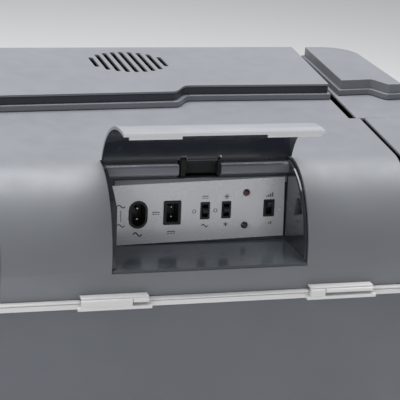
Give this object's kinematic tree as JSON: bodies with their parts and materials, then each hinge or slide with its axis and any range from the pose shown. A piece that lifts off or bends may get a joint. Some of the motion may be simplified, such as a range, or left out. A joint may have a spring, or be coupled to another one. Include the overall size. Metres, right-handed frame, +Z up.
{
  "type": "electric cooler box",
  "caption": "Insulated cooler box with a thermoelectric unit in its hinged lid, a power bay with sockets and slide switches under a flap, and a carry handle.",
  "frame": {"origin": "centre of the bounding box's bottom face, on the floor between the feet", "axes": "+Z up, -Y towards the hinged side with the power bay, +X to the right when that side is looked at"},
  "size_m": [0.5708, 0.4378, 0.4658],
  "materials": {
    "shell": "satin",
    "handle": "satin",
    "lid_grey": "satin",
    "plinth": "satin",
    "band": "gloss",
    "bay": "gloss",
    "flap": "satin",
    "rim": "satin",
    "liner": "satin",
    "foam": "rough",
    "panel": "satin",
    "black_plastic": "satin",
    "knob": "satin",
    "pin": "polished",
    "red_lens": "gloss",
    "dark_lens": "gloss",
    "gasket": "matt",
    "foot": "matt",
    "board": "satin",
    "aluminium": "bare",
    "module": "bare",
    "supply": "satin"
  },
  "bodies": {
    "body": {"outer_shell": "shell", "body_foam": "foam", "inner_liner": "liner", "foot_rear_left": "foot", "foot_rear_right": "foot", "foot_front_left": "foot", "foot_front_right": "foot", "hinge_base_left": "rim", "hinge_base_right": "rim", "hinge_pin_left": "pin", "hinge_pin_right": "pin", "handle_pivot_left": "shell", "handle_pivot_right": "shell"},
    "lid": {"lid_cover": "lid_grey", "lid_end_cover_left": "lid_grey", "lid_end_cover_right": "lid_grey", "end_deck_left": "lid_grey", "end_deck_right": "lid_grey", "deck_plinth": "plinth", "vent_band": "band", "unit_cover": "lid_grey", "lid_liner": "liner", "lid_foam": "foam", "lid_gasket": "gasket", "lid_hinge_left": "rim", "lid_hinge_right": "rim", "bay_liner": "bay", "panel_plate": "panel", "flap_bracket": "black_plastic", "flap_pin": "pin", "ac_inlet": "black_plastic", "ac_pin_upper": "pin", "ac_pin_lower": "pin", "dc_inlet": "black_plastic", "dc_pin_upper": "pin", "dc_pin_lower": "pin", "power_switch": "black_plastic", "mode_switch": "black_plastic", "level_switch": "black_plastic", "red_indicator": "red_lens", "dark_indicator": "dark_lens", "control_board": "board", "power_supply": "supply", "cold_spacer": "aluminium", "thermoelectric_module": "module", "hot_heatsink": "aluminium", "cold_heatsink": "aluminium", "hot_fan_frame": "black_plastic", "cold_grille": "liner"},
    "flap": {"flap": "flap"},
    "handle": {"handle_arm_left": "handle", "handle_arm_right": "handle", "handle_grip": "handle"},
    "power_knob": {"power_slider": "knob"},
    "mode_knob": {"mode_slider": "knob"},
    "level_knob": {"level_slider": "knob"},
    "hot_fan": {"hot_fan_rotor": "black_plastic"},
    "cold_fan": {"cold_fan_rotor": "black_plastic"}
  },
  "joints": [
    {"name": "lid_hinge", "type": "hinge", "parent": "body", "child": "lid", "pos_m": [0, -0.21407, 0.3352], "axis": [1, 0, 0], "range_deg": [0, 95]},
    {"name": "flap_hinge", "type": "hinge", "parent": "lid", "child": "flap", "pos_m": [0, -0.15097, 0.423], "axis": [1, 0, 0], "range_deg": [0, 78]},
    {"name": "handle_swing", "type": "hinge", "parent": "body", "child": "handle", "pos_m": [0, -0.00727, 0.315], "axis": [1, 0, 0], "range_deg": [0, 112]},
    {"name": "power_slide", "type": "slide", "parent": "lid", "child": "power_knob", "axis": [0, 0.0958, 0.9954], "range_m": [-0.0026, 0.0026]},
    {"name": "mode_slide", "type": "slide", "parent": "lid", "child": "mode_knob", "axis": [0, 0.0958, 0.9954], "range_m": [-0.0026, 0.0026]},
    {"name": "level_slide", "type": "slide", "parent": "lid", "child": "level_knob", "axis": [0, 0.0958, 0.9954], "range_m": [-0.0052, 0]},
    {"name": "hot_fan_spin", "type": "hinge", "parent": "lid", "child": "hot_fan", "pos_m": [0, 0.08773, 0.397], "axis": [0, 0, 1], "continuous": true},
    {"name": "cold_fan_spin", "type": "hinge", "parent": "lid", "child": "cold_fan", "pos_m": [0, 0.08773, 0.30825], "axis": [0, 0, 1], "continuous": true}
  ]
}
